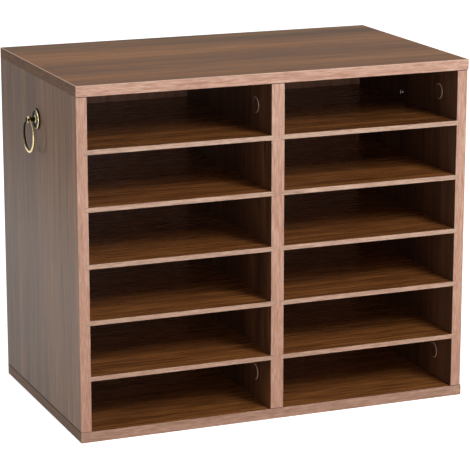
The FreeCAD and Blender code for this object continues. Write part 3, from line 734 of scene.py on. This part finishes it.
ZINC_TONES = (paint(150, 150, 152), paint(178, 178, 180))
zinc = plain_finish("cast_zinc", ZINC_TONES, per_metre=900, rough_from=0.35, rough_by=0.2,
                    metallic=1.0)
STEEL_TONES = (paint(196, 196, 194), paint(222, 221, 216))
steel = plain_finish("plated_steel", STEEL_TONES, per_metre=1500, rough_from=0.16,
                     rough_by=0.14, metallic=1.0)
CAP_TONES = (paint(76, 49, 36), paint(90, 59, 43))
cap_plastic = plain_finish("cap_plastic", CAP_TONES, per_metre=1200, rough_from=0.25,
                           rough_by=0.1, coat=0.4)
BEECH_TONES = (paint(196, 160, 118), paint(214, 182, 140), paint(226, 198, 158))
beech = wood_print("dowel_beech", "Z", BEECH_TONES, coarse=300.0)
print("fittings:", zinc.name, steel.name, cap_plastic.name, beech.name)

# %% [markdown]
# Every CAD node now gets its finish. A list of all the nodes would be long and would miss a
# new one, so the words in a node's name decide, and the first rule that fits holds.

# %% Put the finishes on the CAD nodes
RULES = (
    ("end_band", band_on_ends), ("shelf_band", band_on_shelves),
    ("bottom_front_band", shaded_band_at_foot),
    ("side_front_band", band_along_z), ("divider_front_band", band_along_z),
    ("front_band", band_along_x), ("shelf", shelf_walnut), ("back_panel", back_film),
    ("cam_covers", cap_plastic), ("cam_bolts", steel), ("cams", zinc), ("dowels", beech),
    ("rosette", brass), ("pull_post", brass), ("pull_ring", brass), ("pull_screw", steel),
    ("top_panel", walnut_on_top), ("bottom_panel", shelf_walnut),
    ("side_panel", walnut_on_sides), ("centre_divider", shaded_walnut_inside),
)
for node_name, node in nodes.items():
    node.data.materials.clear()
    node.data.materials.append(next(finish for words, finish in RULES if words in node_name))
print(len(nodes), "nodes finished")

# %% [markdown]
# Turned pieces are surfaces of revolution: a profile of places along the axis and radii,
# carried round it. A few profile points are easy to read but leave sharp corners. Bevels
# could round those afterwards; here the profile is rounded first, by cutting its corners.
# Every edge gives points a quarter and three quarters of the way along, and three rounds of
# that leave a smooth line that still starts and ends on the axis.

# %% Turning
def rounded(profile, rounds=3, cut=0.25):
    """Corner cutting: between each two points stand the points at cut and 1 - cut of the
    way; the first and last points stay."""
    line = np.array(profile, float)
    for _ in range(rounds):
        start, end = line[:-1], line[1:]
        near, far = start + cut * (end - start), end - cut * (end - start)
        inner = np.stack([near, far], axis=1).reshape(-1, 2)
        line = np.vstack([line[:1], inner, line[-1:]])
    return line


def sheet_faces(rows, columns, offset=0, close_rows=False):
    """Quads of a grid of points whose columns close on themselves, and whose rows may."""
    last = rows if close_rows else rows - 1
    row, column = np.meshgrid(np.arange(last), np.arange(columns), indexing="ij")
    beside, above = (column + 1) % columns, (row + 1) % rows
    quads = np.stack([row * columns + column, row * columns + beside,
                      above * columns + beside, above * columns + column], axis=-1)
    return quads.reshape(-1, 4) + offset


def turned(profile, around):
    """Points and faces of a solid turned about the X axis. A profile row (x, r) becomes the
    circle (x, r cos t, r sin t). The first and last rows, at radius 0, are the poles."""
    inner = np.array(profile[1:-1])
    angle = np.linspace(0, 2 * math.pi, around, endpoint=False)
    rings = np.stack([np.repeat(inner[:, :1], around, axis=1),
                      inner[:, 1:] * np.cos(angle), inner[:, 1:] * np.sin(angle)], axis=-1)
    poles = np.array([(profile[0][0], 0, 0), (profile[-1][0], 0, 0)])
    points = np.vstack([rings.reshape(-1, 3), poles])
    quads = sheet_faces(len(inner), around).tolist()
    column = np.arange(around)
    beside, top = (column + 1) % around, (len(inner) - 1) * around
    first, last = len(points) - 2, len(points) - 1
    low_fan = np.stack([np.full(around, first), beside, column], axis=1).tolist()
    high_fan = np.stack([np.full(around, last), top + column, top + beside], axis=1).tolist()
    return points, quads + low_fan + high_fan


print("a rounded corner has", len(rounded([(0, 0), (0, 1), (1, 1)])), "points")

# %% [markdown]
# Every new piece is made the same way, so one helper does it: points and faces become a smooth
# mesh, which is told what body it rides on and what material it is of, and the CAD node it stands
# for is hidden. A piece of several closed shells is one mesh, because it stands for one node.

# %% Make a piece from points
def make_piece(name, points, faces, finish, body, stands_for, rubbed=None):
    """A smooth mesh at its place in the case, riding on a body and standing for a CAD node. Its
    'rubbed' attribute says how bright each point of the metal is, from wear and from painted
    highlights."""
    mesh = bpy.data.meshes.new(name)
    mesh.from_pydata(points.tolist(), [], faces)
    mesh.polygons.foreach_set("use_smooth", np.ones(len(mesh.polygons), bool))
    if rubbed is not None:
        mesh.attributes.new("rubbed", "FLOAT", "POINT").data.foreach_set("value", rubbed)
    mesh.materials.append(finish)
    mesh.update()
    piece = put_in_scene(name, mesh)
    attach(piece, body)
    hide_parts(stands_for)


def join_shells(shells):
    """Several shells of points and faces as one, with the later faces counted on."""
    points, faces, start = [], [], 0
    for shell_points, shell_faces in shells:
        points.append(shell_points)
        faces += [[corner + start for corner in face] for face in shell_faces]
        start += len(shell_points)
    return np.vstack(points), faces


def body_under(node):
    """The body that carries a CAD node."""
    return nodes[node]["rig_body"]


print("left ring rides on", body_under("left_pull_ring"))

# %% [markdown]
# Plastic caps hide the cam fittings inside the case. A pale rim round each is a painted highlight
# on its rolled edge. The rim could be a second piece, but it is the same plastic, so it is
# coloured by its distance from the cap's middle.

# %% The caps' painted rim highlights
CAP_RADIUS = 10 * MM
RIM_HIGHLIGHT_START, RIM_HIGHLIGHT_FADE = 9.1 * MM, 0.2 * MM
# The pale rim tone is a painted highlight on the caps' rolled edges.
RIM_HIGHLIGHT = paint(206, 180, 158)


def painted_rim_highlight(finish):
    """Absolute values about the middle of the board fold its four caps onto one, and past the
    highlight's inner radius from there the colour goes over to the rim's painted highlight."""
    tree = finish.node_tree
    shader = tree.nodes["Principled BSDF"]
    cap_colour = shader.inputs["Base Color"].links[0].from_socket
    low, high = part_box("divider_cam_covers")
    middle, reach = (low + high) / 2, (high - low) / 2
    off = []
    for axis in ("Y", "Z"):
        number = AXES[axis]
        from_middle = math_node(tree, "SUBTRACT", coordinate(tree, axis), middle[number])
        folded = math_node(tree, "ABSOLUTE", from_middle)
        off.append(math_node(tree, "SUBTRACT", folded, reach[number] - CAP_RADIUS))
    square = math_node(tree, "MULTIPLY_ADD", off[0], off[0],
                       math_node(tree, "MULTIPLY", off[1], off[1]))
    bare = step_between(tree, math_node(tree, "SQRT", square), RIM_HIGHLIGHT_START,
                        RIM_HIGHLIGHT_START + RIM_HIGHLIGHT_FADE)
    feed(tree, shader, {"Base Color": blend(tree, bare, cap_colour, RIM_HIGHLIGHT)})


painted_rim_highlight(cap_plastic)
print("rims show", in_mm(CAP_RADIUS - RIM_HIGHLIGHT_START), "mm wide")

# %% [markdown]
# A cap is a shallow dome with a rolled edge. A flattened ball would have no wall to stand
# on, so it is turned, and a board's four caps are copies of it.

# %% Cam covers
CAPPED_BOARDS = (("left_side", left_inner, 1.0), ("divider", divider_left, -1.0),
                 ("right_side", right_inner, -1.0))
CAP_AROUND = 64
CROWN_RISE = 0.35


def cap_profile(radius, rise):
    """From the board to the crown: straight up the wall, over a rolled edge, and in to a
    crown that stands a little above the shoulder."""
    shoulder = rise * (1 - CROWN_RISE)
    return rounded([
        (0, 0), (0, radius * 0.985), (shoulder * 0.5, radius), (shoulder, radius * 0.93),
        (shoulder * 1.12, radius * 0.8), (rise * 0.98, radius * 0.4), (rise, 0)])


def face_along(points, spot, outward):
    """Turns a piece made about +X half round the upright axis where it faces -X, and moves
    it to its spot."""
    return points * np.array([outward, outward, 1.0]) + np.array(spot)


def stands_out(low, high, face, outward):
    """How far a box stands out of a board's face."""
    return high.x - face if outward > 0 else face - low.x


for board, face, outward in CAPPED_BOARDS:
    low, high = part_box(f"{board}_cam_covers")
    rise = stands_out(low, high, face, outward)
    cap_points, cap_faces = turned(cap_profile(CAP_RADIUS, rise), CAP_AROUND)
    shells = []
    for y in (low.y + CAP_RADIUS, high.y - CAP_RADIUS):
        for z in (low.z + CAP_RADIUS, high.z - CAP_RADIUS):
            shells.append((face_along(cap_points, (face, y, z), outward), cap_faces))
    points, faces = join_shells(shells)
    make_piece(f"{board}_caps", points, faces, cap_plastic, "case",
               f"{board}_cam_covers")
    print(board, "caps stand", in_mm(rise, 2), "mm proud")

# %% [markdown]
# Each ring pull has a turned back plate, a post with a round bored eye, and a cast ring that is
# thin where it runs in the eye and swells towards its foot. A screw from inside the case holds it
# all. A plate could be built up from discs with bevels, but one turned profile holds its rim, dish
# and boss. The pulls stand out along X, so their parts are turned about X and then faced to the
# left or the right. Buffing leaves only the crest of the plate's rim bright, so its points are
# worn by how far out they lie, and a painted highlight makes the crest brighter towards the front.

# %% Back plates
PULL_SIDES = (("left", left_face, -1.0), ("right", right_face, 1.0))
ROSETTE_AROUND = 96
DISH = 1.3 * MM
BOSS, BOSS_RADIUS = 2.0 * MM, 4.8 * MM
CREST_INSIDE, CREST_OUTSIDE = (0.87, 0.92), (0.94, 0.985)
DISH_WEAR, BOSS_WEAR, CREST_WEAR, CREST_FRONT_HIGHLIGHT = 0.05, 0.1, 0.15, 0.7


def rosette_profile(radius, rim):
    """From the board round the rim, down into the dish and up to the flat boss."""
    return rounded([
        (0, 0), (0, radius * 0.96), (rim * 0.3, radius), (rim * 0.62, radius * 0.985),
        (rim, radius * 0.93), (rim, radius * 0.86), (rim * 0.7, radius * 0.8),
        (DISH * 1.02, radius * 0.76), (DISH * 0.9, radius * 0.7), (DISH, radius * 0.64),
        (DISH * 1.1, BOSS_RADIUS * 1.25), (BOSS, BOSS_RADIUS * 1.04),
        (BOSS, BOSS_RADIUS * 0.9), (BOSS, 0)])


def smooth_step(value, low, high):
    """0 below low, 1 above high, and 3t^2 - 2t^3 between them."""
    t = np.clip((value - low) / (high - low), 0, 1)
    return t * t * (3 - 2 * t)


def to_front(placed, radius):
    """0 behind the pull's middle, growing to 1 at a radius in front of it."""
    return np.clip(-placed[:, 1] / radius, 0, 1)


for side, face, outward in PULL_SIDES:
    low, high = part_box(f"{side}_rosette")
    radius, rim = (high.z - low.z) / 2, high.x - low.x
    points, faces = turned(rosette_profile(radius, rim), ROSETTE_AROUND)
    placed = face_along(points, (face, 0, (low.z + high.z) / 2), outward)
    share = np.linalg.norm(points[:, 1:], axis=1) / radius
    crest = smooth_step(share, *CREST_INSIDE) * (1 - smooth_step(share, *CREST_OUTSIDE))
    # The crest's extra brightness towards the front is a painted highlight; the rest is wear.
    rubbed = (DISH_WEAR + BOSS_WEAR * smooth_step(points[:, 0], DISH, BOSS)
              + crest * (CREST_WEAR + CREST_FRONT_HIGHLIGHT * to_front(placed, radius)))
    make_piece(f"{side}_back_plate", placed, faces, brass, body_under(f"{side}_rosette"),
               f"{side}_rosette", rubbed)
    print(side, "back plate", in_mm(2 * radius), "mm across")

# %% [markdown]
# The eye is a ball with a flared bore along Y. Cutting a bore out of a ball would leave a
# sharp, uneven edge. Turned about the bore's own axis, the eye is one closed loop carried
# round: over the ball from one mouth to the other and back through the bore.

# %% The bored eye
EYE_RADIUS, BORE_RADIUS, MOUTH_FLARE = 4.25 * MM, 1.8 * MM, 0.5 * MM
POST_AROUND, LOOP_STEPS = 64, 40


def bored_ball(stand):
    """Ball of EYE_RADIUS about (stand, 0, 0) with a bore along Y. The section's loop runs
    over the ball as (R sin a, R cos a), then back through the bore, whose radius grows with
    the sixth power of the way out to its mouths."""
    mouth = math.acos((BORE_RADIUS + MOUTH_FLARE) / EYE_RADIUS)
    over = np.linspace(-mouth, mouth, LOOP_STEPS)
    outside = np.stack([EYE_RADIUS * np.sin(over), EYE_RADIUS * np.cos(over)], axis=1)
    reach = outside[-1, 0]
    through = np.linspace(reach, -reach, LOOP_STEPS)[1:-1]
    inside = np.stack([through, BORE_RADIUS + MOUTH_FLARE * (through / reach) ** 6], axis=1)
    loop = np.vstack([outside, inside])
    angle = np.linspace(0, 2 * math.pi, POST_AROUND, endpoint=False)
    points = np.stack([stand + loop[:, 1:] * np.cos(angle),
                       np.repeat(loop[:, :1], POST_AROUND, axis=1),
                       -loop[:, 1:] * np.sin(angle)], axis=-1)
    return points.reshape(-1, 3), sheet_faces(len(loop), POST_AROUND, close_rows=True).tolist()


def enclosed(points, faces):
    """Signed volume inside closed faces, in cubic millimetres: the sum of corner . (corner x
    corner) / 6 over fans of triangles, positive when the faces point out."""
    total = 0.0
    for size in sorted({len(face) for face in faces}):
        corners = points[np.array([face for face in faces if len(face) == size])]
        for k in range(1, size - 1):
            cross = np.cross(corners[:, k], corners[:, k + 1])
            total += float(np.einsum("ij,ij->", corners[:, 0], cross)) / 6
    return round(total / MM ** 3)


print("a bored eye holds", enclosed(*bored_ball(0)), "mm3")

# %% [markdown]
# A post is that eye on a stem with a collar and a waist. The two could be welded, but the
# stem is a second closed solid whose end stands inside the ball's wall, which looks the same
# and keeps clean faces.

# %% Posts
COLLAR_RADIUS, COLLAR_END, NECK_RADIUS = 4.4 * MM, 3.0 * MM, 2.8 * MM
STEM_END_IN_EYE = 2.2 * MM
NECK_WEAR, EYE_WEAR, EYE_FRONT_HIGHLIGHT = 0.1, 0.65, 0.3


def stem_profile(stand):
    """Collar on the boss, a waist, and a neck that swells into the eye."""
    end = stand - STEM_END_IN_EYE
    return rounded([
        (BOSS, 0), (BOSS, COLLAR_RADIUS * 0.97), (BOSS + 0.3 * (COLLAR_END - BOSS), COLLAR_RADIUS),
        (COLLAR_END, COLLAR_RADIUS * 0.98), (COLLAR_END * 1.08, NECK_RADIUS * 1.2),
        (COLLAR_END * 1.5, NECK_RADIUS * 0.92), ((COLLAR_END + end) / 2, NECK_RADIUS * 0.9),
        (end * 0.92, NECK_RADIUS * 1.02), (end, NECK_RADIUS * 0.9), (end, 0)])


for side, face, outward in PULL_SIDES:
    low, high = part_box(f"{side}_pull_post")
    stand = stands_out(low, high, face, outward) - EYE_RADIUS
    stem = turned(stem_profile(stand), POST_AROUND)
    points, faces = join_shells([bored_ball(stand), stem])
    placed = face_along(points, (face, 0, (low.z + high.z) / 2), outward)
    off_axis = np.linalg.norm(points[:, 1:], axis=1)
    # The eye is worn bright, and a painted highlight brightens it more towards the front.
    rubbed = NECK_WEAR + smooth_step(off_axis, NECK_RADIUS, EYE_RADIUS) * (
        EYE_WEAR + EYE_FRONT_HIGHLIGHT * to_front(placed, EYE_RADIUS))
    make_piece(f"{side}_post", placed, faces, brass, body_under(f"{side}_pull_post"),
               f"{side}_pull_post", rubbed)
    print(side, "stem holds", enclosed(*stem), "mm3")

# %% [markdown]
# The ring is a hoop whose wire swells as it goes down. A torus has the same wire all round, so the
# hoop is written out: a small circle carried round a large one, with the small radius growing as
# one minus the cosine of the angle from the crown. The metal is worn brightest on the foot. A
# painted highlight brightens the outside of the front half and the side that faces out, and the
# rear half, which gets none, stays dark as painted shade; patina keeps it dark up in the eye and
# inside the hoop.

# %% Rings
RING_STEPS, WIRE_STEPS = 160, 32
ROUND_RING, ROUND_WIRE = np.meshgrid(np.linspace(0, 2 * math.pi, RING_STEPS, endpoint=False),
                                     np.linspace(0, 2 * math.pi, WIRE_STEPS, endpoint=False),
                                     indexing="ij")
THIN, THICK = 2.3 * MM / 2, 3.5 * MM / 2
HIDDEN_WEAR, FOOT_WEAR, RING_FRONT_HIGHLIGHT, OUTER_HIGHLIGHT = 0.02, 0.34, 0.6, 0.2
RING_FRONT_PART = (-0.35, 0.55)


def to_foot():
    """0 at the ring's crown and 1 at its foot: (1 - cos u) / 2."""
    return (1 - np.cos(ROUND_RING)) / 2


def hoop(centre, radius):
    """Ring in the YZ plane. At an angle u from the crown the wire's radius w is THIN +
    (THICK - THIN) (1 - cos u) / 2, and a point at v round it stands at the centre + (R +
    w cos v) (0, sin u, cos u) + w sin v (1, 0, 0)."""
    wire = THIN + (THICK - THIN) * to_foot()
    out = radius + wire * np.cos(ROUND_WIRE)
    points = np.stack([wire * np.sin(ROUND_WIRE), out * np.sin(ROUND_RING),
                       out * np.cos(ROUND_RING)], axis=-1)
    faces = sheet_faces(RING_STEPS, WIRE_STEPS, close_rows=True).tolist()
    return points.reshape(-1, 3) + np.array(centre), faces


def ring_wear_and_highlight(outward):
    """How bright the hoop is: rubbed on its foot, with a painted highlight on the outside of its
    front half and a little on the side that faces out."""
    # The front half's outside and the side facing out get a painted highlight; the rear half stays
    # dark as painted shade.
    front = smooth_step(-np.sin(ROUND_RING), *RING_FRONT_PART)
    lit_front = np.clip(np.cos(ROUND_WIRE), 0, 1) * front
    facing_out = np.clip(outward * np.sin(ROUND_WIRE), 0, 1)
    wear = (HIDDEN_WEAR + FOOT_WEAR * to_foot() ** 2 + RING_FRONT_HIGHLIGHT * lit_front
            + OUTER_HIGHLIGHT * to_foot() * facing_out)
    return wear.ravel()


for side, face, outward in PULL_SIDES:
    low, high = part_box(f"{side}_pull_ring")
    middle = (low + high) / 2
    radius = (high.z - low.z - THIN - THICK) / 2
    points, faces = hoop((middle.x, middle.y, low.z + THICK + radius), radius)
    make_piece(f"{side}_ring", points, faces, brass, body_under(f"{side}_pull_ring"),
               f"{side}_pull_ring", ring_wear_and_highlight(outward))
    print(side, "ring radius", in_mm(radius, 2), "mm, volume", enclosed(points, faces), "mm3")

# %% [markdown]
# The screw heads inside are pan heads with a cross cut in them. A cut would need a boolean,
# which leaves ragged faces on a dome. So the head is turned on a fine grid, and the cross is
# a dent in its crown: each arm is deepest in the middle and runs out at its end, as the
# driver's tip leaves it.

# %% The dented crown
ARM_REACH, ARM_HALF, CROSS_DEPTH = 2.2 * MM, 0.5 * MM, 1.4 * MM
WALL_SPREAD = 0.2


def arm_depth(along, across):
    """One arm of the cross, from 1 in its middle down to 0 at its end as one minus the
    square of the way there, with steep walls."""
    run_out = np.clip(1 - (along / ARM_REACH) ** 2, 0, 1)
    wall = smooth_step(np.abs(across), ARM_HALF * (1 - WALL_SPREAD), ARM_HALF * (1 + WALL_SPREAD))
    return run_out * (1 - wall)


def cross_dent(y, z):
    """Depth of the cross at a place on the head: the deeper of two arms at right angles."""
    return CROSS_DEPTH * np.maximum(arm_depth(y, z), arm_depth(z, y))


print("the cross is", in_mm(cross_dent(0.0, 0.0)), "mm deep")

# %% [markdown]
# A dent needs points where it bends, and a head's own profile has few. Subdividing the whole
# head would add them everywhere, so they are set evenly along the profile before it turns.

# %% Screw heads
SCREWED_SIDES = (("left", left_inner, 1.0), ("right", right_inner, -1.0))
HEAD_AROUND, HEAD_ROWS = 128, 90
CROWN_PART = (0.1, 0.6)


def spaced(line, count):
    """The same line with its points set evenly along its length."""
    steps = np.linalg.norm(np.diff(line, axis=0), axis=1)
    along = np.concatenate([[0], np.cumsum(steps)])
    at = np.linspace(0, along[-1], count)
    return np.stack([np.interp(at, along, line[:, 0]), np.interp(at, along, line[:, 1])], axis=1)


def head_profile(rise, head):
    """From the board up the wall, over the shoulder and in to the flat of the crown."""
    return rounded([
        (0, 0), (0, head * 0.97), (rise * 0.2, head), (rise * 0.62, head * 0.97),
        (rise * 0.95, head * 0.72), (rise, head * 0.4), (rise, 0)])


for side, face, outward in SCREWED_SIDES:
    low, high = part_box(f"{side}_pull_screw")
    rise, head = stands_out(low, high, face, outward), (high.z - low.z) / 2
    points, faces = turned(spaced(head_profile(rise, head), HEAD_ROWS), HEAD_AROUND)
    crown = smooth_step(points[:, 0] / rise, *CROWN_PART)
    points[:, 0] -= crown * cross_dent(points[:, 1], points[:, 2])
    placed = face_along(points, (face, 0, (low.z + high.z) / 2), outward)
    make_piece(f"{side}_screw_head", placed, faces, steel, body_under(f"{side}_pull_screw"),
               f"{side}_pull_screw")
    print(side, "screw head", in_mm(2 * head), "mm across,", in_mm(rise), "mm high")

# %% [markdown]
# Last, the box of what shows is written beside the box of the CAD model. The two should be the
# same to a hair, because the drawn pieces stand where the CAD's stood.

# %% Compare the boxes and finish
seen_low, seen_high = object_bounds()
growth = (seen_high - seen_low) - (cad_high - cad_low)
print("the box grew by", [in_mm(side, 3) for side in growth], "mm")
